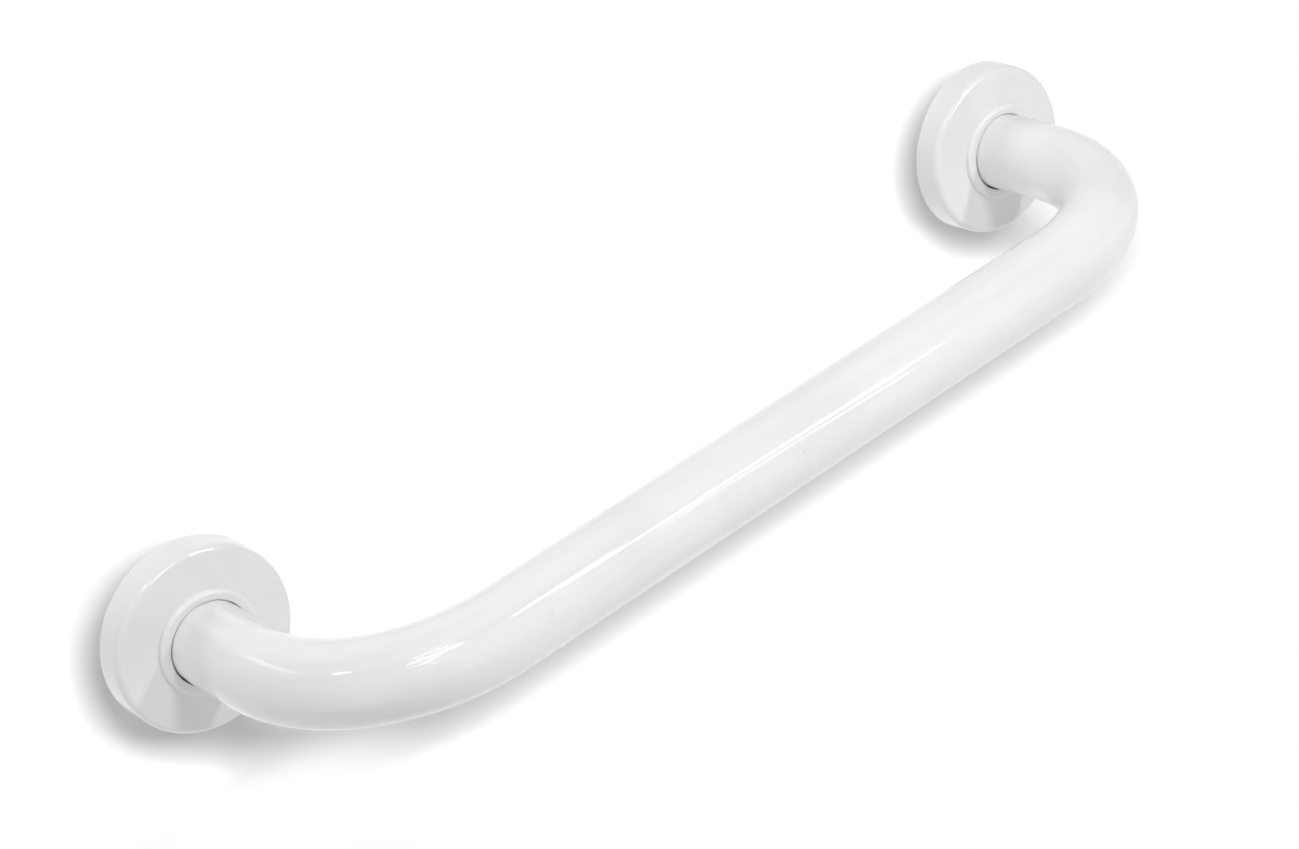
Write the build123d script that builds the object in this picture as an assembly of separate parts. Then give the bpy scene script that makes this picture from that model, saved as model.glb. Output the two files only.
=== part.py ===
from build123d import *
import math
import os

# Wall grab bar: a bent tube with a screw flange welded on each end, and a cover over each flange.
# Millimetres. X runs along the bar, Y points into the wall, Z points up.
# The wall is the plane Y = 0, and the origin is halfway between the two legs.

# Bar
TUBE_DIA = 35.0
TUBE_WALL = 1.5
LEG_CENTRES = 450.0
PROJECTION = 118.0  # wall to the axis of the bar
BEND_RADIUS = 73.0  # on the tube axis

# Cover
COVER_DIA = 80.0  # at the wall
COVER_WALL = 2.0
COVER_HEIGHT = 15.1  # face height at the foot of the bead
SKIRT_DRAFT = 2.0  # degrees
FACE_SLOPE = 6.0  # degrees, the face falls away towards the edge
EDGE_ROUND = 3.0
BORE_CLEARANCE = 0.4
HANG_CLEARANCE = 0.1  # left over the tube, as the loose cover hangs on it
BEAD_WIDTH = 4.6
BEAD_HEIGHT = 2.2
BEAD_STEP = 0.1  # upright foot of the bead, below its round
LIP_ROUND = 0.7  # on the bore side of the bead

# Grip ribs inside the cover
RIB_COUNT = 6
RIB_WIDTH = 1.6
RIB_DEPTH = 0.55
RIB_TOP = 8.0
RIB_LEAD = 0.8  # sloped start, so that the cover finds the flange
RIB_CLEARANCE = 0.15

# Flange
FLANGE_THICKNESS = 3.0
FLANGE_EDGE = 0.6  # broken edge of the front rim
WELD_LEG = 2.5
SCREW_COUNT = 3
SCREW_HOLE_DIA = 6.5

TUBE_RADIUS = TUBE_DIA / 2
LEG_LENGTH = PROJECTION - BEND_RADIUS
BAR_LENGTH = LEG_CENTRES - 2 * BEND_RADIUS

BORE_RADIUS = TUBE_RADIUS + BORE_CLEARANCE
BEAD_RADIUS = BORE_RADIUS + BEAD_WIDTH
COVER_DROP = BORE_CLEARANCE - HANG_CLEARANCE

# The flange fills the cover up to the ribs, and the screws sit midway between weld and rim.
GRIP_RADIUS = COVER_DIA / 2 - COVER_WALL - RIB_DEPTH
FLANGE_RADIUS = GRIP_RADIUS - COVER_DROP - RIB_CLEARANCE
WELD_RADIUS = TUBE_RADIUS + WELD_LEG
SCREW_CIRCLE_RADIUS = (WELD_RADIUS + FLANGE_RADIUS) / 2

# Turns a piece made upright on local Z so that it stands out from the wall.
OFF_WALL = Rot(90, 0, 0)


def tube_section():
    """Ring section of the tube, on the local XY plane."""
    return Circle(TUBE_RADIUS) - Circle(TUBE_RADIUS - TUBE_WALL)


def straight(length):
    """Straight run of tube, standing on the local XY plane."""
    return extrude(tube_section(), amount=length)


def bend():
    """Quarter bend that starts upright at the local origin and turns towards +X."""
    turn = Axis((BEND_RADIUS, 0, 0), (0, 1, 0))
    return revolve(tube_section(), axis=turn, revolution_arc=90)


def make_tube():
    """The bent tube, as one solid whose open ends are flush with the wall."""
    half = straight(LEG_LENGTH)
    half += Pos(0, 0, LEG_LENGTH) * bend()
    half += Pos(BEND_RADIUS, 0, PROJECTION) * Rot(0, 90, 0) * straight(BAR_LENGTH / 2)
    half = Pos(-LEG_CENTRES / 2, 0, 0) * half
    return OFF_WALL * (half + mirror(half, about=Plane.YZ))


def revolved(points, rounds):
    """Solid of revolution about local Z, from corner points (radius, height) and the corners to round."""
    profile = make_face(Polyline(*points, close=True))
    for corner, size in rounds:
        profile = fillet(profile.vertices().sort_by_distance((*corner, 0))[0], radius=size)
    return revolve(Plane.XZ * profile, axis=Axis.Z)


def make_flange():
    """Screw flange with its weld to the tube, back face on the local XY plane, one hole towards +X."""
    points = [
        (TUBE_RADIUS, 0),
        (FLANGE_RADIUS, 0),
        (FLANGE_RADIUS, FLANGE_THICKNESS - FLANGE_EDGE),
        (FLANGE_RADIUS - FLANGE_EDGE, FLANGE_THICKNESS),
        (WELD_RADIUS, FLANGE_THICKNESS),
        (TUBE_RADIUS, FLANGE_THICKNESS + WELD_LEG),
    ]
    flange = revolved(points, [])
    hole = extrude(Circle(SCREW_HOLE_DIA / 2), amount=FLANGE_THICKNESS)
    for place in PolarLocations(SCREW_CIRCLE_RADIUS, SCREW_COUNT):
        flange -= place * hole
    return flange


def rim_radius(inset):
    """Radius of the cover's skirt at the wall, moved inwards by inset."""
    return COVER_DIA / 2 - inset / math.cos(math.radians(SKIRT_DRAFT))


def face_height(radius, inset):
    """Height of the sloped cover face at a radius, moved inwards by inset."""
    slope = math.radians(FACE_SLOPE)
    return COVER_HEIGHT - (radius - BEAD_RADIUS) * math.tan(slope) - inset / math.cos(slope)


def shoulder(inset):
    """Corner (radius, height) where the drafted skirt meets the sloped face, both moved inwards by inset."""
    lean = math.tan(math.radians(SKIRT_DRAFT))
    fall = math.tan(math.radians(FACE_SLOPE))
    height = face_height(rim_radius(inset), inset) / (1 - fall * lean)
    return rim_radius(inset) - height * lean, height


def make_rib():
    """Grip rib towards +X: it ends just clear of the flange rim, and its back is buried in the skirt."""
    buried_radius = rim_radius(COVER_WALL / 2)
    side = [
        (buried_radius, RIB_LEAD),
        (buried_radius, RIB_TOP),
        (GRIP_RADIUS, RIB_TOP),
        (GRIP_RADIUS, 2 * RIB_LEAD),
        (rim_radius(COVER_WALL), RIB_LEAD),
    ]
    profile = make_face(Polyline(*side, close=True))
    return extrude(Plane.XZ * profile, amount=RIB_WIDTH / 2, both=True)


def make_cover():
    """Moulded cover, rim on the local XY plane: drafted skirt, sloped face and a bead round the bore."""
    crest = COVER_HEIGHT + BEAD_HEIGHT
    points = [
        (rim_radius(0), 0),
        shoulder(0),
        (BEAD_RADIUS, COVER_HEIGHT),
        (BEAD_RADIUS, crest),
        (BORE_RADIUS, crest),
        (BORE_RADIUS, face_height(BORE_RADIUS, COVER_WALL)),
        shoulder(COVER_WALL),
        (rim_radius(COVER_WALL), 0),
    ]
    rounds = [
        (shoulder(0), EDGE_ROUND),
        (shoulder(COVER_WALL), EDGE_ROUND - COVER_WALL),
        ((BEAD_RADIUS, crest), BEAD_HEIGHT - BEAD_STEP),
        ((BORE_RADIUS, crest), LIP_ROUND),
    ]
    cover = revolved(points, rounds)
    for place in PolarLocations(0, RIB_COUNT, start_angle=180 / RIB_COUNT):
        cover += place * make_rib()
    return cover


os.makedirs("parts", exist_ok=True)
export_step(make_tube(), "parts/tube.step")

left_end = Pos(-LEG_CENTRES / 2, 0, 0) * OFF_WALL
hung_cover = Pos(0, -COVER_DROP, 0) * make_cover()
for piece, shape in (("flange", make_flange()), ("cover", hung_cover)):
    left = left_end * shape
    export_step(left, f"parts/left_{piece}.step")
    export_step(mirror(left, about=Plane.YZ), f"parts/right_{piece}.step")
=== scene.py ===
import math

import bmesh
import bpy
from mathutils import Matrix, Vector


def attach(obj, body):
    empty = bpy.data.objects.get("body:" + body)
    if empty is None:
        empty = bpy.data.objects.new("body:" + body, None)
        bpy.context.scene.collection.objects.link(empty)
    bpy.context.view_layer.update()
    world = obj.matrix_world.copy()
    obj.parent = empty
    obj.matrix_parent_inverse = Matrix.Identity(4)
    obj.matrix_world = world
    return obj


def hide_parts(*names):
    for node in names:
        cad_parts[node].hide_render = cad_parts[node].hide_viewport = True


bl_info = {
    "name": "White grab bar",
    "version": (1, 0, 0),
    "blender": (4, 5, 0),
    "location": "View3D > Sidebar > Grab Bar",
    "description": "Coated tube, moulded covers, screw flanges and studio of a wall grab bar",
    "category": "Object",
}

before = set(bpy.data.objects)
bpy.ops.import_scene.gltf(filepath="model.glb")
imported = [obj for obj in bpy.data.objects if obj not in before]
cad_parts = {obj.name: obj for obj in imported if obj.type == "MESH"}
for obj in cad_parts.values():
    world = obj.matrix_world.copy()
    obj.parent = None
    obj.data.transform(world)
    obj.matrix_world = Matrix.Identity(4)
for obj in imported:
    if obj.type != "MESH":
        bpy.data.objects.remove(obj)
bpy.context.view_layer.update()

# The wall is the plane Y = 0 and the bar stands out towards -Y. Metres throughout.
LEFT = -1
RIGHT = 1
SIDES = {"left": LEFT, "right": RIGHT}


class GrabBarTube(bpy.types.PropertyGroup):
    """Sizes and finish of the bent tube."""

    diameter: bpy.props.FloatProperty(
        name="Diameter", description="Outside diameter over the coat", default=0.035, unit="LENGTH")
    wall: bpy.props.FloatProperty(
        name="Wall", description="Thickness of the tube wall", default=0.0015, unit="LENGTH")
    centres: bpy.props.FloatProperty(
        name="Leg centres", description="Distance between the two leg axes", default=0.45, unit="LENGTH")
    projection: bpy.props.FloatProperty(
        name="Projection", description="Wall to the axis of the bar", default=0.118, unit="LENGTH")
    bend_radius: bpy.props.FloatProperty(
        name="Bend radius", description="Radius of the bends on the tube axis", default=0.073, unit="LENGTH")
    flattening: bpy.props.FloatProperty(
        name="Flattening", description="Share of the diameter lost across the middle of a bend",
        default=0.012, min=0.0, max=0.1)
    crease_depth: bpy.props.FloatProperty(
        name="Crease depth", description="Depth of the creases on the inside of the right bend",
        default=0.0002, unit="LENGTH")
    coat: bpy.props.FloatVectorProperty(
        name="Coat", description="Colour of the white coat", subtype="COLOR", size=3,
        default=(0.83, 0.83, 0.83), min=0.0, max=1.0)
    coat_roughness: bpy.props.FloatProperty(
        name="Coat roughness", description="Roughness of the gloss coat", default=0.045, min=0.0, max=1.0)
    bare_steel: bpy.props.FloatVectorProperty(
        name="Bare steel", description="Colour of the uncoated bore", subtype="COLOR", size=3,
        default=(0.30, 0.30, 0.31), min=0.0, max=1.0)


class GrabBarCover(bpy.types.PropertyGroup):
    """Sizes and finish of the moulded covers."""

    diameter: bpy.props.FloatProperty(
        name="Diameter", description="Outside diameter at the wall", default=0.08, unit="LENGTH")
    wall: bpy.props.FloatProperty(
        name="Wall", description="Thickness of the moulding", default=0.002, unit="LENGTH")
    height: bpy.props.FloatProperty(
        name="Height", description="Face height at the foot of the bead", default=0.0151, unit="LENGTH")
    draft: bpy.props.FloatProperty(
        name="Draft", description="Lean of the skirt", default=math.radians(2.0), subtype="ANGLE")
    slope: bpy.props.FloatProperty(
        name="Slope", description="Fall of the face towards its edge",
        default=math.radians(6.0), subtype="ANGLE")
    edge_round: bpy.props.FloatProperty(
        name="Edge round", description="Radius of the front edge", default=0.003, unit="LENGTH")
    bore_clearance: bpy.props.FloatProperty(
        name="Bore clearance", description="Gap round the tube", default=0.0004, unit="LENGTH")
    hang_clearance: bpy.props.FloatProperty(
        name="Hang clearance", description="Gap over the tube, as the loose cover hangs on it",
        default=0.0001, unit="LENGTH")
    bead_width: bpy.props.FloatProperty(
        name="Bead width", description="Width of the bead round the bore", default=0.0046, unit="LENGTH")
    bead_height: bpy.props.FloatProperty(
        name="Bead height", description="Height of the bead over the face", default=0.0022, unit="LENGTH")
    bead_step: bpy.props.FloatProperty(
        name="Bead step", description="Upright foot below the round of the bead", default=0.0001, unit="LENGTH")
    lip_round: bpy.props.FloatProperty(
        name="Lip round", description="Radius on the bore side of the bead", default=0.0007, unit="LENGTH")
    rib_count: bpy.props.IntProperty(
        name="Ribs", description="Grip ribs inside the skirt", default=6, min=0)
    rib_width: bpy.props.FloatProperty(
        name="Rib width", description="Width of a grip rib", default=0.0016, unit="LENGTH")
    rib_depth: bpy.props.FloatProperty(
        name="Rib depth", description="Depth of a grip rib", default=0.00055, unit="LENGTH")
    rib_top: bpy.props.FloatProperty(
        name="Rib top", description="Height of a grip rib off the wall", default=0.008, unit="LENGTH")
    rib_lead: bpy.props.FloatProperty(
        name="Rib lead", description="Sloped start of a grip rib", default=0.0008, unit="LENGTH")
    plastic: bpy.props.FloatVectorProperty(
        name="Plastic", description="Colour of the covers", subtype="COLOR", size=3,
        default=(0.805, 0.805, 0.805), min=0.0, max=1.0)
    roughness: bpy.props.FloatProperty(
        name="Roughness", description="Roughness of the moulded face", default=0.05, min=0.0, max=1.0)


class GrabBarFlange(bpy.types.PropertyGroup):
    """Finish of the screw flanges and size of their welds."""

    zinc: bpy.props.FloatVectorProperty(
        name="Zinc", description="Colour of the plated steel", subtype="COLOR", size=3,
        default=(0.56, 0.57, 0.58), min=0.0, max=1.0)
    thickness: bpy.props.FloatProperty(
        name="Thickness", description="Thickness of the flange plate", default=0.003, unit="LENGTH")
    weld_leg: bpy.props.FloatProperty(
        name="Weld leg", description="Leg length of the weld", default=0.0025, unit="LENGTH")
    weld_crown: bpy.props.FloatProperty(
        name="Weld crown", description="How far the weld bulges", default=0.0005, unit="LENGTH")
    weld_ripples: bpy.props.IntProperty(
        name="Weld ripples", description="Ripples in one turn of weld", default=46, min=1)


class GrabBarStage(bpy.types.PropertyGroup):
    """Floor, light and camera."""

    floor_drop: bpy.props.FloatProperty(
        name="Floor drop", description="Floor level below the bar axis, at the wall side",
        default=0.072, unit="LENGTH")
    floor_slope: bpy.props.FloatProperty(
        name="Floor slope", description="Rise of the floor towards the front",
        default=math.radians(14.0), subtype="ANGLE")
    backdrop_gap: bpy.props.FloatProperty(
        name="Backdrop gap", description="Distance of the backdrop behind the wall side",
        default=0.032, unit="LENGTH")
    backdrop_top: bpy.props.FloatProperty(
        name="Backdrop top", description="Height of the backdrop over the bar axis",
        default=0.055, unit="LENGTH")
    ambient: bpy.props.FloatProperty(
        name="Ambient", description="Light from all round", default=0.12, min=0.0)
    bounce: bpy.props.FloatProperty(
        name="Bounce", description="Light that the floor sends back up", default=0.77, min=0.0)
    lamp_level: bpy.props.FloatProperty(
        name="Lamp level", description="Share of the lamps' full brightness", default=1.0, min=0.0)
    backdrop_level: bpy.props.FloatProperty(
        name="Backdrop level", description="Brightness of the lamp that lights the backdrop",
        default=45.0, min=0.0)
    shadow_level: bpy.props.FloatProperty(
        name="Shadow level", description="Brightness of the floor in full shadow", default=0.22, min=0.0)
    focal_length: bpy.props.FloatProperty(
        name="Focal length", description="Camera lens in millimetres", default=77.864, min=1.0)


class Wire:
    """One socket of a node tree. Sums and products of wires add Math nodes."""

    def __init__(self, tree, socket=None):
        self.tree = tree
        self.socket = socket

    def node(self, kind, settings=None, inputs=None, output=0):
        """Adds a node, applies its settings, then gives its inputs values or links, and returns an output."""
        made = self.tree.nodes.new(kind)
        for key, value in (settings or {}).items():
            if key == "stops":
                ramp = made.color_ramp
                while len(ramp.elements) < len(value):
                    ramp.elements.new(1.0)
                for element, (position, colour) in zip(ramp.elements, value):
                    element.position = position
                    element.color = colour
            else:
                setattr(made, key, value)
        for key, value in (inputs or {}).items():
            if isinstance(value, Wire):
                self.tree.links.new(value.socket, made.inputs[key])
            else:
                made.inputs[key].default_value = value
        return Wire(self.tree, made.outputs[output] if len(made.outputs) else None)

    def math(self, operation, *values):
        """Math node on values or wires."""
        return self.node("ShaderNodeMath", {"operation": operation}, dict(enumerate(values)))

    def __add__(self, other):
        return self.math("ADD", self, other)

    __radd__ = __add__

    def __sub__(self, other):
        return self.math("SUBTRACT", self, other)

    def __rsub__(self, other):
        return self.math("SUBTRACT", other, self)

    def __mul__(self, other):
        return self.math("MULTIPLY", self, other)

    __rmul__ = __mul__

    def step(self, low, high):
        """Smooth step of this value from 0 at low to 1 at high."""
        inputs = {"Value": self, "From Min": low, "From Max": high, "To Min": 0.0, "To Max": 1.0}
        return self.node("ShaderNodeMapRange", {"interpolation_type": "SMOOTHSTEP"}, inputs)

    def tint(self, colour, share):
        """This colour mixed towards another by a share."""
        return mix_colours(self, share, self, colour)


# Sockets of a Mix node for colours, by number, because it has number sockets of the same names.
MIX_SHARE, MIX_FIRST, MIX_SECOND = 0, 6, 7
MIXED = 2


def mix_colours(maker, share, first, second):
    """First colour mixed towards the second by a share."""
    inputs = {MIX_SHARE: share, MIX_FIRST: first, MIX_SECOND: second}
    return maker.node("ShaderNodeMix", {"data_type": "RGBA"}, inputs, MIXED)


def new_material(name):
    """Empty material, its wire maker and a wire with the object coordinates."""
    material = bpy.data.materials.new(name)
    material.use_nodes = True
    material.node_tree.nodes.clear()
    maker = Wire(material.node_tree)
    place = maker.node("ShaderNodeTexCoord", output="Object")
    return material, maker, place


def finish_material(maker, inputs):
    """Principled shader with the given inputs, joined to the material output."""
    shader = maker.node("ShaderNodeBsdfPrincipled", inputs=inputs)
    maker.node("ShaderNodeOutputMaterial", inputs={"Surface": shader})


def opaque(colour, share=1.0):
    """Colour with full alpha, darkened to a share of itself."""
    return (*(share * part for part in colour), 1.0)


def noise(maker, place, scale, detail=2.0):
    """Noise pattern with the same number of waves per metre all round."""
    return maker.node("ShaderNodeTexNoise", inputs={"Vector": place, "Scale": scale, "Detail": detail})


def stretched_noise(maker, place, scale, detail=2.0):
    """Noise pattern with its own number of waves per metre on each axis."""
    scaled = maker.node("ShaderNodeMapping", inputs={"Vector": place, "Scale": scale})
    return noise(maker, scaled, 1.0, detail)


def near(maker, place, point, inner, outer):
    """1 within inner of a point, falling to 0 at outer."""
    distance = maker.node(
        "ShaderNodeVectorMath", {"operation": "DISTANCE"}, {0: place, 1: point}, output="Value")
    return 1.0 - distance.step(inner, outer)


def relief(maker, height, distance):
    """Bump normal from a height wire."""
    return maker.node("ShaderNodeBump", inputs={"Height": height, "Distance": distance})


# Patterns of the finishes, in waves per metre, all round or on each axis.
TUBE_DRAW_TONES = (9.0, 190.0, 190.0)
COAT_MOTTLE = 26.0
COAT_PEEL = 210.0
COAT_GRAIN = 900.0
BORE_LINES = (60.0, 60.0, 700.0)
BORE_STAIN = 90.0
PLASTIC_CLOUD = 40.0
PLASTIC_FLOW = 120.0
PLASTIC_SKIN = 1400.0
SCUFF_LINES = (1900.0, 1900.0, 150.0)
ZINC_SPANGLE = 160.0
ZINC_SCRATCHES = 600.0
WELD_PATCHES = 240.0
WELD_GRAIN = 1500.0

# Heights of the reliefs.
GLOSS_RELIEF = 0.00001
BORE_RELIEF = 0.00008
ZINC_RELIEF = 0.00004
WELD_RELIEF = 0.00005

# Gloss of the coat and the plastic, stains of the bare steel and the zinc, and how far heat tints the zinc.
GLOSS_IOR = 1.5
STAIN_COLOUR = (0.17, 0.15, 0.13, 1.0)
HEAT_COLOUR = (0.34, 0.27, 0.19, 1.0)
HEAT_REACH = 0.006

# The bead of a cover is duller than its face, with a short change at its foot.
BEAD_DULLNESS = 0.25
BEAD_BLEND = 0.0006

# Small marks on the coat: place on the tube, radius, and how strongly they show.
COAT_MARKS = (
    ((-0.1396, -0.1343, 0.0063), 0.0022, 0.06),
    ((-0.0094, -0.1350, 0.0041), 0.0006, 0.22),
    ((0.0554, -0.1350, -0.0041), 0.0005, 0.25),
    ((-0.0622, -0.1352, 0.0034), 0.0005, 0.25),
)
# Slight waves in the coat on the left bend: waves per metre along and across, their height beside the orange
# peel, and the patch's middle and where it starts to fade and ends.
BEND_WAVES = (80.0, 900.0, 900.0)
BEND_WAVE_HEIGHT = 17.0
WAVY_BEND = ((-0.1881, -0.1228, 0.0120), 0.008, 0.017)
# Specks on the face of the right cover.
COVER_MARKS = (
    ((0.2414, -0.0142, 0.0215), 0.0007, 0.22),
    ((0.2518, -0.0138, 0.0198), 0.0006, 0.16),
)
# Scuffed patch on the face of the left cover: its middle and radius.
SCUFF = ((-0.2255, -0.0146, 0.0268), 0.0065)
MARK_COLOUR = (0.12, 0.115, 0.11, 1.0)
WHITE = (1.0, 1.0, 1.0, 1.0)
# Share of a mark's radius that shows at full strength.
MARK_CORE = 0.4


def marked(maker, place, colour, marks):
    """Colour with small dark marks laid over it."""
    for point, radius, strength in marks:
        share = near(maker, place, point, radius * MARK_CORE, radius) * strength
        colour = colour.tint(MARK_COLOUR, share)
    return colour


def off_leg(maker, place, centres):
    """Distance from the axis of the nearer leg."""
    along = maker.node("ShaderNodeSeparateXYZ", inputs={"Vector": place}, output="X")
    up = maker.node("ShaderNodeSeparateXYZ", inputs={"Vector": place}, output="Z")
    from_leg = along.math("ABSOLUTE", along) - centres / 2
    return along.math("SQRT", from_leg * from_leg + up * up)


def coat_material(tube):
    """Gloss white coat: mottling, tones along the tube, orange peel, waves on the left bend and small marks."""
    material, maker, place = new_material("white_coat")
    run = maker.node("ShaderNodeAttribute", {"attribute_name": "run"}, output="Vector")
    streak = stretched_noise(maker, run, TUBE_DRAW_TONES, 3.0)
    mottle = noise(maker, place, COAT_MOTTLE, 3.0)
    grain = noise(maker, place, COAT_GRAIN)
    peel = noise(maker, place, COAT_PEEL)
    wave = stretched_noise(maker, run, BEND_WAVES, 1.0) * near(maker, place, *WAVY_BEND)
    colour = mix_colours(maker, mottle.step(0.35, 0.75), opaque(tube.coat), opaque(tube.coat, 0.95))
    colour = colour.tint(opaque(tube.coat, 0.9), streak.step(0.45, 0.75) * 0.55)
    colour = marked(maker, place, colour, COAT_MARKS)
    finish_material(maker, {
        "Base Color": colour,
        "Roughness": grain * 0.02 + (tube.coat_roughness - 0.01),
        "Normal": relief(maker, peel + grain * 0.1 + wave * BEND_WAVE_HEIGHT, GLOSS_RELIEF),
        "IOR": GLOSS_IOR,
    })
    return material


def bore_material(tube):
    """Uncoated drawn steel inside the tube."""
    material, maker, place = new_material("bare_bore")
    drawn = stretched_noise(maker, place, BORE_LINES, 4.0)
    stain = noise(maker, place, BORE_STAIN, 4.0)
    finish_material(maker, {
        "Base Color": mix_colours(maker, stain.step(0.45, 0.75), opaque(tube.bare_steel), STAIN_COLOUR),
        "Metallic": 0.9,
        "Roughness": drawn * 0.3 + 0.35,
        "Normal": relief(maker, drawn, BORE_RELIEF),
    })
    return material


def plastic_material(cover, tube):
    """Moulded white plastic with a fine skin, slight flow lines, a scuffed patch and a duller bead."""
    material, maker, place = new_material("white_plastic")
    cloud = noise(maker, place, PLASTIC_CLOUD, 3.0)
    skin = noise(maker, place, PLASTIC_SKIN)
    flow = noise(maker, place, PLASTIC_FLOW, 1.0)
    colour = mix_colours(maker, cloud.step(0.4, 0.7), opaque(cover.plastic), opaque(cover.plastic, 0.96))
    colour = marked(maker, place, colour, COVER_MARKS)
    scuff_middle, scuff_radius = SCUFF
    rubbed = stretched_noise(maker, place, SCUFF_LINES).step(0.58, 0.72)
    scuff = rubbed * near(maker, place, scuff_middle, 0.0, scuff_radius)
    bead_edge = bore_radius(cover) + cover.bead_width
    bead = 1.0 - off_leg(maker, place, tube.centres).step(bead_edge - BEAD_BLEND, bead_edge)
    finish_material(maker, {
        "Base Color": colour.tint(WHITE, scuff * 0.4),
        "Roughness": skin * 0.03 + bead * BEAD_DULLNESS + (cover.roughness - 0.015),
        "Normal": relief(maker, flow + skin * 0.1, GLOSS_RELIEF),
        "IOR": GLOSS_IOR,
    })
    return material


def zinc_material(flange, tube):
    """Plated steel: spangle, fine scratches and a heat tint round the weld."""
    material, maker, place = new_material("zinc_plate")
    spangle = maker.node(
        "ShaderNodeTexVoronoi", inputs={"Vector": place, "Scale": ZINC_SPANGLE}, output="Color")
    cell = maker.node("ShaderNodeSeparateColor", inputs={"Color": spangle}, output="Red")
    fine = noise(maker, place, ZINC_SCRATCHES, 3.0)
    weld_radius = tube.diameter / 2 + flange.weld_leg
    heat = 1.0 - off_leg(maker, place, tube.centres).step(weld_radius, weld_radius + HEAT_REACH)
    colour = mix_colours(maker, cell, opaque(flange.zinc), opaque(flange.zinc, 0.85))
    finish_material(maker, {
        "Base Color": colour.tint(HEAT_COLOUR, heat * 0.7),
        "Metallic": 1.0,
        "Roughness": cell * 0.14 + fine * 0.16 + 0.24,
        "Normal": relief(maker, fine, ZINC_RELIEF),
    })
    return material


def weld_material():
    """Weld bead: dull silver with brown and blue heat bands."""
    material, maker, place = new_material("weld_bead")
    patch = noise(maker, place, WELD_PATCHES, 3.0)
    colour = maker.node("ShaderNodeValToRGB", {"stops": (
        (0.30, (0.42, 0.42, 0.42, 1.0)),
        (0.52, (0.33, 0.27, 0.20, 1.0)),
        (0.70, (0.20, 0.22, 0.28, 1.0)),
    )}, {"Fac": patch})
    finish_material(maker, {
        "Base Color": colour,
        "Metallic": 1.0,
        "Roughness": patch * 0.2 + 0.34,
        "Normal": relief(maker, noise(maker, place, WELD_GRAIN), WELD_RELIEF),
    })
    return material


# Edges sharper than this stay sharp in a smooth-shaded piece, and points closer than this are merged.
SHARP_ANGLE = math.radians(40.0)
MERGE_DISTANCE = 1e-7


def make_piece(name, bm, body, materials):
    """Turns a bmesh into a smooth-shaded piece that rides on a body."""
    mesh = bpy.data.meshes.new(name)
    bm.to_mesh(mesh)
    bm.free()
    for material in materials:
        mesh.materials.append(material)
    mesh.shade_smooth()
    mesh.set_sharp_from_angle(angle=SHARP_ANGLE)
    piece = bpy.data.objects.new(name, mesh)
    bpy.context.scene.collection.objects.link(piece)
    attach(piece, body)
    return piece


def edges_in(geometry):
    return [g for g in geometry if isinstance(g, bmesh.types.BMEdge)]


def verts_in(geometry):
    return [g for g in geometry if isinstance(g, bmesh.types.BMVert)]


def run_straight(bm, loop, vector, steps):
    """Extrudes a loop of edges along a vector in steps, and returns the last loop."""
    for _ in range(steps):
        made = bmesh.ops.extrude_edge_only(bm, edges=loop)["geom"]
        bmesh.ops.translate(bm, verts=verts_in(made), vec=vector / steps)
        loop = edges_in(made)
    return loop


def run_bend(bm, loop, centre, steps):
    """Turns a loop of edges a quarter turn about a vertical axis, and returns the last loop."""
    ends = {v for e in loop for v in e.verts}
    made = bmesh.ops.spin(
        bm, geom=[*ends, *loop], cent=centre, axis=(0, 0, 1), angle=math.pi / 2, steps=steps)
    return edges_in(made["geom_last"])


def close_seams(bm):
    """Merges doubled points and turns all faces outwards."""
    bmesh.ops.remove_doubles(bm, verts=bm.verts, dist=MERGE_DISTANCE)
    bmesh.ops.recalc_face_normals(bm, faces=bm.faces)


def full_turn(bm, leg_x, steps):
    """Turns an outline once round the axis of a leg."""
    bmesh.ops.spin(
        bm, geom=[*bm.verts, *bm.edges], cent=(leg_x, 0.0, 0.0), axis=(0, 1, 0),
        angle=2 * math.pi, steps=steps, use_merge=True)
    close_seams(bm)


# Fineness of the tube's mesh: round the section, and along a leg, a bend and the bar.
TUBE_SEGMENTS = 96
LEG_STEPS = 14
BEND_STEPS = 110
BAR_STEPS = 60
# Share of the flattening that a bend gains in height.
BEND_BULGE = 0.3
# Creases on the inside of the right bend: place along the bend, half width and reach round the section.
CREASES = (
    (math.radians(39.0), 0.0006, math.radians(12.0)),
    (math.radians(46.0), 0.0006, math.radians(10.0)),
)


def shape_bend(vert, side, tube):
    """Flattens a bend slightly, and presses the creases into the inside of the right one."""
    bend_x = side * (tube.centres / 2 - tube.bend_radius)
    centre = Vector((bend_x, -(tube.projection - tube.bend_radius), 0.0))
    arm = Vector((vert.co.x, vert.co.y, 0.0)) - centre
    if side * arm.x < 0.0 or arm.y > 0.0:
        return
    angle = math.atan2(-arm.y, side * arm.x)
    weight = math.sin(2.0 * angle) ** 2
    out = arm.length - tube.bend_radius
    radius = tube.bend_radius + out * (1.0 - tube.flattening * weight)
    up = vert.co.z * (1.0 + BEND_BULGE * tube.flattening * weight)
    if side == RIGHT:
        round_section = math.atan2(vert.co.z, -out)
        for place, half_width, reach in CREASES:
            across = (angle - place) * (tube.bend_radius - tube.diameter / 2) / half_width
            fade = math.exp(-across * across) * math.exp(-((round_section / reach) ** 2))
            radius += tube.crease_depth * fade
    vert.co = centre + arm.normalized() * radius + Vector((0.0, 0.0, up))


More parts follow.
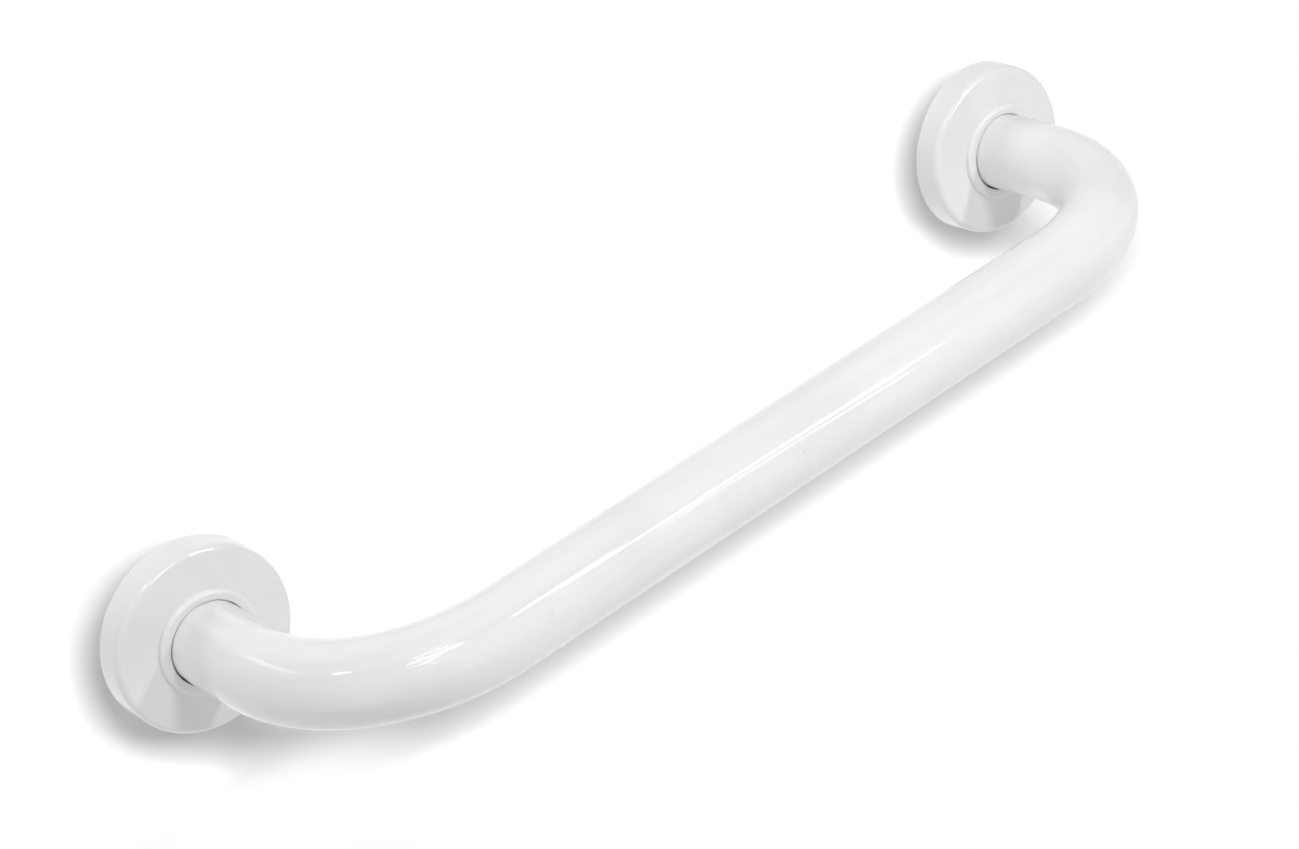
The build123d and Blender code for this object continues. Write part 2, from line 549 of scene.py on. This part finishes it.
def straightened(place, tube):
    """Place on the tube as if it were straight: distance from the middle of the bar, outwards and up."""
    side = math.copysign(1.0, place.x)
    bend_x = tube.centres / 2 - tube.bend_radius
    bend_y = tube.projection - tube.bend_radius
    over_x = abs(place.x) - bend_x
    over_y = -place.y - bend_y
    if over_x < 0.0:
        return Vector((place.x, -place.y - tube.projection, place.z))
    if over_y < 0.0:
        along = bend_x + tube.bend_radius * math.pi / 2 - over_y
        return Vector((side * along, abs(place.x) - tube.centres / 2, place.z))
    along = bend_x + tube.bend_radius * math.atan2(over_x, over_y)
    return Vector((side * along, math.hypot(over_x, over_y) - tube.bend_radius, place.z))


class GRABBAR_OT_tube(bpy.types.Operator):
    """Makes the bent tube with its coat and its bare bore."""

    bl_idname = "grabbar.tube"
    bl_label = "Bent tube"

    def execute(self, context):
        tube = context.scene.grabbar_tube
        half = tube.centres / 2
        leg = tube.projection - tube.bend_radius
        bend_x = half - tube.bend_radius
        bm = bmesh.new()
        stand = Matrix.Translation((-half, 0.0, 0.0)) @ Matrix.Rotation(math.pi / 2, 4, "X")
        bmesh.ops.create_circle(
            bm, cap_ends=False, radius=tube.diameter / 2, segments=TUBE_SEGMENTS, matrix=stand)
        loop = list(bm.edges)
        loop = run_straight(bm, loop, Vector((0.0, -leg, 0.0)), LEG_STEPS)
        loop = run_bend(bm, loop, (-bend_x, -leg, 0.0), BEND_STEPS)
        loop = run_straight(bm, loop, Vector((2 * bend_x, 0.0, 0.0)), BAR_STEPS)
        loop = run_bend(bm, loop, (bend_x, -leg, 0.0), BEND_STEPS)
        run_straight(bm, loop, Vector((0.0, leg, 0.0)), LEG_STEPS)
        close_seams(bm)
        run = bm.verts.layers.float_vector.new("run")
        for vert in bm.verts:
            vert[run] = straightened(vert.co, tube)
            for side in SIDES.values():
                shape_bend(vert, side, tube)
        piece = make_piece(
            "coated_tube", bm, "bar", (coat_material(tube), bore_material(tube)))
        shell = piece.modifiers.new("Tube wall", "SOLIDIFY")
        shell.thickness = tube.wall
        shell.offset = -1.0
        shell.material_offset = 1
        shell.material_offset_rim = 1
        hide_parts("tube")
        return {"FINISHED"}


# Fineness of the covers' mesh: round the axis and round a corner. Rounds on the rim and the back of the bore.
COVER_STEPS = 192
CORNER_SEGMENTS = 10
RIM_ROUND = 0.0003
BORE_BACK_ROUND = 0.0004


def shoulder(cover, inset):
    """Rim radius, and the corner (radius, height) between skirt and face, all moved inwards by inset."""
    lean = math.tan(cover.draft)
    fall = math.tan(cover.slope)
    rim = cover.diameter / 2 - inset / math.cos(cover.draft)
    height = face_height(cover, rim, inset) / (1.0 - fall * lean)
    return rim, (rim - height * lean, height)


def bore_radius(cover):
    """Radius of a cover's bore, which clears the tube."""
    return bpy.context.scene.grabbar_tube.diameter / 2 + cover.bore_clearance


def face_height(cover, radius, inset):
    """Height of the sloped face at a radius, moved inwards by inset."""
    fall = (radius - bore_radius(cover) - cover.bead_width) * math.tan(cover.slope)
    return cover.height - fall - inset / math.cos(cover.slope)


def round_corner(bm, vert, radius, segments):
    """Rounds a corner of a wire outline to a radius."""
    first, second = [e.other_vert(vert).co - vert.co for e in vert.link_edges]
    reach = radius / math.tan(first.angle(second) / 2)
    bmesh.ops.bevel(
        bm, geom=[vert], offset=reach, segments=segments, profile=0.5, affect="VERTICES", material=-1)


def add_rib(bm, cover, leg_x, angle):
    """Grip rib inside the skirt, its back buried in the wall and its start sloped."""
    rim, _ = shoulder(cover, cover.wall)
    inner = cover.diameter / 2 - cover.wall - cover.rib_depth
    outer = rim + cover.wall / 2
    size = Vector((outer - inner, cover.rib_top - cover.rib_lead, cover.rib_width))
    middle = Vector(((outer + inner) / 2, -(cover.rib_top + cover.rib_lead) / 2, 0.0))
    scale = Matrix.Diagonal((*size, 1.0))
    turn = Matrix.Rotation(angle, 4, "Y")
    place = Matrix.Translation((leg_x, 0.0, 0.0)) @ turn @ Matrix.Translation(middle)
    made = bmesh.ops.create_cube(bm, size=1.0, matrix=scale)["verts"]
    start = [v for v in made if v.co.y > 0.0 and v.co.x < 0.0]
    bmesh.ops.translate(bm, verts=start, vec=(rim - inner, 0.0, 0.0))
    bmesh.ops.transform(bm, matrix=place, verts=made)


class GRABBAR_OT_covers(bpy.types.Operator):
    """Makes the two moulded covers that hide the flanges."""

    bl_idname = "grabbar.covers"
    bl_label = "Covers"

    def execute(self, context):
        tube = context.scene.grabbar_tube
        cover = context.scene.grabbar_cover
        plastic = plastic_material(cover, tube)
        for name, side in SIDES.items():
            leg_x = side * tube.centres / 2
            bm = bmesh.new()
            self.outline(bm, cover, leg_x)
            full_turn(bm, leg_x, COVER_STEPS)
            for number in range(cover.rib_count):
                add_rib(bm, cover, leg_x, (number + 0.5) * 2 * math.pi / cover.rib_count)
            drop = cover.bore_clearance - cover.hang_clearance
            bmesh.ops.translate(bm, verts=bm.verts, vec=(0.0, 0.0, -drop))
            piece = make_piece(
                f"{name}_cover_shell", bm, f"{name}_rose", (plastic,))
            piece.modifiers.new("Even shading", "WEIGHTED_NORMAL").keep_sharp = True
            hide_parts(f"{name}_cover")
        return {"FINISHED"}

    def outline(self, bm, cover, leg_x):
        """Closed section of the cover on one side of its axis, with rounded corners."""
        bore = bore_radius(cover)
        foot = bore + cover.bead_width
        crest = cover.height + cover.bead_height
        rim, edge = shoulder(cover, 0.0)
        inner_rim, inner_edge = shoulder(cover, cover.wall)
        corners = (
            ((rim, 0.0), RIM_ROUND),
            (edge, cover.edge_round),
            ((foot, cover.height), 0.0),
            ((foot, crest), cover.bead_height - cover.bead_step),
            ((bore, crest), cover.lip_round),
            ((bore, face_height(cover, bore, cover.wall)), BORE_BACK_ROUND),
            (inner_edge, cover.edge_round - cover.wall),
            ((inner_rim, 0.0), RIM_ROUND),
        )
        verts = [bm.verts.new((leg_x + radius, -height, 0.0)) for (radius, height), _ in corners]
        for first, second in zip(verts, [*verts[1:], verts[0]]):
            bm.edges.new((first, second))
        for vert, (_, radius) in zip(verts, corners):
            if radius:
                round_corner(bm, vert, radius, CORNER_SEGMENTS)


# Weld: how far it laps over the CAD weld and sinks into the metal, and the height of a ripple.
WELD_LAP = 0.0004
WELD_SINK = 0.0003
RIPPLE_HEIGHT = 0.00012
# Fineness of the weld's mesh: across it, and along one ripple.
WELD_SEGMENTS = 8
RIPPLE_STEPS = 6


class GRABBAR_OT_flanges(bpy.types.Operator):
    """Plates the two screw flanges and lays a rippled weld round each leg."""

    bl_idname = "grabbar.flanges"
    bl_label = "Flanges and welds"

    def execute(self, context):
        tube = context.scene.grabbar_tube
        flange = context.scene.grabbar_flange
        zinc = zinc_material(flange, tube)
        bead = weld_material()
        for name, side in SIDES.items():
            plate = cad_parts[f"{name}_flange"]
            plate.data.materials.clear()
            plate.data.materials.append(zinc)
            self.weld(name, side * tube.centres / 2, tube, flange, bead)
        return {"FINISHED"}

    def weld(self, name, leg_x, tube, flange, bead):
        """Convex weld bead between tube and flange, with a ripple for each dab of metal."""
        radius = tube.diameter / 2
        reach = flange.weld_leg + WELD_LAP
        leg = reach + WELD_SINK
        root = Vector((leg_x + radius - WELD_SINK, -(flange.thickness - WELD_SINK), 0.0))
        bm = bmesh.new()
        toe = bm.verts.new(root + Vector((leg, 0.0, 0.0)))
        top = bm.verts.new(root + Vector((0.0, -leg, 0.0)))
        middle = bm.verts.new(root + Vector((1.0, -1.0, 0.0)) * (leg / 2 + flange.weld_crown))
        bm.edges.new((toe, middle))
        bm.edges.new((middle, top))
        round_corner(bm, middle, reach, WELD_SEGMENTS)
        full_turn(bm, leg_x, flange.weld_ripples * RIPPLE_STEPS)
        for vert in bm.verts:
            flat = Vector((vert.co.x - leg_x, 0.0, vert.co.z))
            turn = math.atan2(flat.z, flat.x)
            dab = (turn * flange.weld_ripples / (2 * math.pi)) % 1.0
            outward = flat.normalized() - Vector((0.0, 1.0, 0.0))
            vert.co += outward * RIPPLE_HEIGHT * math.sqrt(1.0 - dab)
        make_piece(f"{name}_weld_bead", bm, "bar", (bead,))


# Camera of the photograph: place, the directions of its right side and its view, and its sensor.
CAMERA_PLACE = Vector((-0.563652, -0.918924, 0.573745))
CAMERA_RIGHT = Vector((0.750421, -0.619437, -0.230576))
CAMERA_VIEW = Vector((0.460405, 0.740179, -0.490064))
SENSOR_WIDTH = 36.0
CLIP_START = 0.01

# Paper: half width and reach to the front, tones below the object and behind it, and fineness of its fold.
PAPER_HALF_WIDTH = 1.5
PAPER_FRONT = 0.8
PAPER_BELOW = (0.67, 0.67, 0.67, 1.0)
PAPER_BEHIND = (0.46, 0.46, 0.46, 1.0)
FOLD_SEGMENTS = 24
# Away from this point the paper fades to plain white: the point, and where the fade starts and ends.
PAPER_FADE = ((-0.03, -0.06, 0.0), 0.285, 0.345)
# Spots in front of the left end where white is painted over the object's shadow on the paper, so its tail is
# painted out: middle, and where the white starts to fade and ends.
PAINTED_OUT_SHADOW = (
    ((-0.238, -0.055, -0.058), 0.018, 0.075),
    ((-0.285, -0.085, -0.052), 0.045, 0.085),
)

# Lamp that lights only the paper and throws the object's shadow on it: middle, aim and side.
PAPER_LAMP_PLACE = Vector((-0.26, -0.995, 0.747))
PAPER_LAMP_AIM = Vector((1.0, 0.0, 0.0))
PAPER_LAMP_SIZE = 0.6

# Lamps: name, middle, direction of the long side, length, width, brightness and use.
# A lamp gives plain light, or it is a card that only shows in the gloss, of everything or of one piece.
LAMPS = (
    ("key", (0.495, -0.93, 0.68), (1.0, 0.5, 0.0), 0.10, 0.10, 136.0, "light"),
    ("top", (0.05, -0.55, 1.15), (1.0, 0.0, 0.0), 0.24, 0.24, 7.0, "light"),
    ("top_front", (0.05, -1.0, 1.15), (1.0, 0.0, 0.0), 0.28, 0.28, 28.8, "light"),
    ("left_fill", (-1.15, 0.1, 1.0), (0.0, 1.0, 0.0), 0.6, 0.6, 5.7, "light"),
    ("back_fill", (0.0, 0.9, 0.9), (1.0, 0.0, 0.0), 0.8, 0.5, 4.4, "light"),
    ("front_low", (0.0, -1.25, 0.36), (1.0, 0.0, 0.0), 0.4, 0.3, 0.6, "light"),
    ("left_low", (-1.15, -0.75, 0.36), (0.0, 1.0, 0.0), 0.4, 0.3, 0.9, "light"),
    ("front_strip", (0.495, -0.905, 0.68), (0.0, 0.44, -0.72), 0.76, 0.07, 14.0, "gloss"),
    ("front_strip_low", (0.495, -0.955, 0.445), (0.0, 0.40, -0.62), 0.56, 0.02, 12.0, "gloss"),
    ("front_strip_high", (0.495, -1.04, 1.15), (0.0, 0.10, -0.25), 0.30, 0.12, 11.0, "gloss"),
    ("ceiling_tube_a", (-0.50, -0.95, 1.12), (0.8, -0.13, 0.0), 0.70, 0.04, 30.0, "gloss"),
    ("ceiling_tube_b", (-0.42, -0.80, 1.12), (0.8, -0.13, 0.0), 0.45, 0.05, 32.0, "gloss"),
    ("ceiling_lamp", (-0.66, -1.30, 1.12), (0.8, -0.13, 0.0), 0.16, 0.06, 18.0, "gloss"),
    ("side_spot", (-0.915, -0.19, 0.98), (0.12, -0.4, 0.1), 0.14, 0.05, 25.0, "gloss"),
    ("left_rim_card_a", (-0.067, -0.95, 0.308), (0.296, 0.057, 0.027), 0.30, 0.07, 1.6, "left"),
    ("left_rim_card_b", (0.319, -0.826, 0.233), (0.22, 0.108, -0.122), 0.27, 0.07, 1.6, "left"),
    ("right_rim_card", (0.529, -0.904, 0.227), (0.49, 0.192, 0.123), 0.54, 0.07, 1.9, "right"),
    ("back_card", (-0.76, 0.448, 0.857), (-0.56, -0.59, 0.21), 0.66, 0.11, 2.4, "tube"),
)
# Pieces that have cards of their own: the use that names the card, the piece and the angle of the beam.
CARD_PIECES = (
    ("tube", "coated_tube", math.radians(180.0)),
    ("left", "left_cover_shell", math.radians(36.0)),
    ("right", "right_cover_shell", math.radians(36.0)),
)


def turned(place, right, back):
    """Matrix for an object at a place, with its X axis along right and its Z axis along back."""
    return Matrix.Translation(place) @ Matrix((right, back.cross(right), back)).transposed().to_4x4()


class GRABBAR_OT_stage(bpy.types.Operator):
    """Sets up the floor, the light all round, the lamps and the camera."""

    bl_idname = "grabbar.stage"
    bl_label = "Stage"

    def execute(self, context):
        stage = context.scene.grabbar_stage
        scenery = bpy.data.collections.new("stage")
        context.scene.collection.children.link(scenery)
        floor = self.floor(scenery, stage)
        apart = self.receivers("all_but_floor", floor, "EXCLUDE")
        links = {"light": (apart, math.pi), "gloss": (apart, math.pi)}
        for use, piece, beam in CARD_PIECES:
            links[use] = (self.receivers(f"{use}_only", bpy.data.objects[piece], "INCLUDE"), beam)
        self.world(context.scene, stage)
        for name, middle, along, length, width, brightness, use in LAMPS:
            level = brightness * stage.lamp_level
            lamp = self.lamp(name, Vector(middle), Vector(along), length, width, level)
            lamp.visible_glossy = use != "light"
            lamp.visible_diffuse = use == "light"
            lamp.light_linking.receiver_collection, lamp.data.spread = links[use]
        lamp = self.lamp(
            "backdrop_lamp", PAPER_LAMP_PLACE, Vector((0.0, 0.0, 1.0)), PAPER_LAMP_SIZE, PAPER_LAMP_SIZE,
            stage.backdrop_level, PAPER_LAMP_AIM)
        lamp.visible_glossy = False
        lamp.light_linking.receiver_collection = scenery
        self.camera(context.scene, stage)
        context.scene.view_settings.view_transform = "Standard"
        return {"FINISHED"}

    def receivers(self, name, piece, state):
        """Collection that makes a lamp light one piece only, or all but that piece."""
        group = bpy.data.collections.new(name)
        group.objects.link(piece)
        group.collection_objects[0].light_linking.link_state = state
        return group

    def seen_directly(self, maker):
        """1 for what the camera sees, straight, in a reflection or through a clear piece."""
        rays = [maker.node("ShaderNodeLightPath", output=name)
                for name in ("Is Camera Ray", "Is Glossy Ray", "Is Transmission Ray")]
        return rays[0].math("MAXIMUM", rays[0].math("MAXIMUM", rays[0], rays[1]), rays[2])

    def paper(self, stage):
        """White paper: it shows the shadow near the object, has white painted over the shadow's tail in two
        spots, fades to plain white, and is clear from behind.
        """
        material, maker, place = new_material("white_paper")
        depth = maker.node("ShaderNodeSeparateXYZ", inputs={"Vector": place}, output="Y")
        colour = mix_colours(maker, depth.step(0.0, stage.backdrop_gap), PAPER_BELOW, PAPER_BEHIND)
        lit = maker.node("ShaderNodeBsdfDiffuse", inputs={"Color": colour})
        unlit = maker.node("ShaderNodeEmission", inputs={"Strength": stage.shadow_level})
        shadowed = maker.node("ShaderNodeAddShader", inputs={0: lit, 1: unlit})
        white = maker.node("ShaderNodeEmission", inputs={"Strength": 1.0})
        bounce = maker.node("ShaderNodeEmission", inputs={"Strength": stage.bounce})
        clear = maker.node("ShaderNodeBsdfTransparent")
        close = near(maker, place, *PAPER_FADE)
        # Painted light: plain white laid over the tail of the object's shadow in these spots.
        for spot in PAINTED_OUT_SHADOW:
            close = close * (1.0 - near(maker, place, *spot))
        behind = maker.node("ShaderNodeNewGeometry", output="Backfacing")
        faded = maker.node("ShaderNodeMixShader", inputs={0: close, 1: white, 2: shadowed})
        seen = self.seen_directly(maker)
        shown = maker.node("ShaderNodeMixShader", inputs={0: seen, 1: bounce, 2: faded})
        sheet = maker.node("ShaderNodeMixShader", inputs={0: behind, 1: shown, 2: clear})
        maker.node("ShaderNodeOutputMaterial", inputs={"Surface": sheet})
        return material

    def floor(self, scenery, stage):
        """Sheet of paper that lies under the object and curves up behind it."""
        bm = bmesh.new()
        rise = math.tan(stage.floor_slope)
        front, fold, top = [bm.verts.new((-PAPER_HALF_WIDTH, y, z)) for y, z in (
            (-PAPER_FRONT, PAPER_FRONT * rise - stage.floor_drop),
            (stage.backdrop_gap, -stage.backdrop_gap * rise - stage.floor_drop),
            (stage.backdrop_gap, stage.backdrop_top))]
        bm.edges.new((front, fold))
        bm.edges.new((fold, top))
        round_corner(bm, fold, stage.backdrop_gap, FOLD_SEGMENTS)
        made = bmesh.ops.extrude_edge_only(bm, edges=bm.edges)["geom"]
        bmesh.ops.translate(bm, verts=verts_in(made), vec=(2 * PAPER_HALF_WIDTH, 0.0, 0.0))
        for face in bm.faces:
            face.normal_update()
            if face.normal.z - face.normal.y < 0.0:
                face.normal_flip()
        mesh = bpy.data.meshes.new("studio_floor")
        bm.to_mesh(mesh)
        bm.free()
        mesh.shade_smooth()
        mesh.materials.append(self.paper(stage))
        floor = bpy.data.objects.new("studio_floor", mesh)
        scenery.objects.link(floor)
        return floor

    def world(self, scene, stage):
        """White all round for what is seen, and a low light for the rest."""
        world = bpy.data.worlds.new("studio_light")
        world.use_nodes = True
        world.node_tree.nodes.clear()
        maker = Wire(world.node_tree)
        level = self.seen_directly(maker) * (1.0 - stage.ambient) + stage.ambient
        light = maker.node("ShaderNodeBackground", inputs={"Color": WHITE, "Strength": level})
        maker.node("ShaderNodeOutputWorld", inputs={"Surface": light})
        scene.world = world

    def lamp(self, name, middle, along, length, width, brightness, aim=Vector()):
        """Area lamp turned towards a point, with its power worked out from the brightness of its surface."""
        light = bpy.data.lights.new(name, "AREA")
        light.shape = "RECTANGLE"
        light.size = length
        light.size_y = width
        light.energy = math.pi * length * width * brightness
        side = along.normalized()
        away = middle - aim
        back = (away - side * away.dot(side)).normalized()
        lamp = bpy.data.objects.new(name, light)
        lamp.matrix_world = turned(middle, side, back)
        bpy.context.scene.collection.objects.link(lamp)
        return lamp

    def camera(self, scene, stage):
        """Camera at the photograph's place and angle."""
        lens = bpy.data.cameras.new("photo_camera")
        lens.sensor_fit = "HORIZONTAL"
        lens.sensor_width = SENSOR_WIDTH
        lens.lens = stage.focal_length
        lens.clip_start = CLIP_START
        camera = bpy.data.objects.new("photo_camera", lens)
        camera.matrix_world = turned(CAMERA_PLACE, CAMERA_RIGHT.normalized(), -CAMERA_VIEW.normalized())
        scene.collection.objects.link(camera)
        scene.camera = camera


class GRABBAR_PT_panel(bpy.types.Panel):
    """Lists the steps that build the grab bar."""

    bl_idname = "GRABBAR_PT_panel"
    bl_label = "Grab Bar"
    bl_space_type = "VIEW_3D"
    bl_region_type = "UI"
    bl_category = "Grab Bar"

    def draw(self, context):
        for name, _, operator in STEPS:
            box = self.layout.box()
            settings = getattr(context.scene, name)
            for key in settings.bl_rna.properties.keys():
                if key not in {"rna_type", "name"}:
                    box.prop(settings, key)
            box.operator(operator.bl_idname)


# Steps of the build: name of the settings on the scene, their group and the operator.
STEPS = (
    ("grabbar_tube", GrabBarTube, GRABBAR_OT_tube),
    ("grabbar_cover", GrabBarCover, GRABBAR_OT_covers),
    ("grabbar_flange", GrabBarFlange, GRABBAR_OT_flanges),
    ("grabbar_stage", GrabBarStage, GRABBAR_OT_stage),
)
CLASSES = (
    *(group for _, group, _ in STEPS),
    *(operator for _, _, operator in STEPS),
    GRABBAR_PT_panel,
)


def register():
    for cls in CLASSES:
        bpy.utils.register_class(cls)
    for name, group, _ in STEPS:
        setattr(bpy.types.Scene, name, bpy.props.PointerProperty(type=group))


def unregister():
    for name, _, _ in STEPS:
        delattr(bpy.types.Scene, name)
    for cls in reversed(CLASSES):
        bpy.utils.unregister_class(cls)


def main():
    register()
    bpy.ops.grabbar.tube()
    bpy.ops.grabbar.covers()
    bpy.ops.grabbar.flanges()
    bpy.ops.grabbar.stage()


if __name__ == "__main__":
    main()
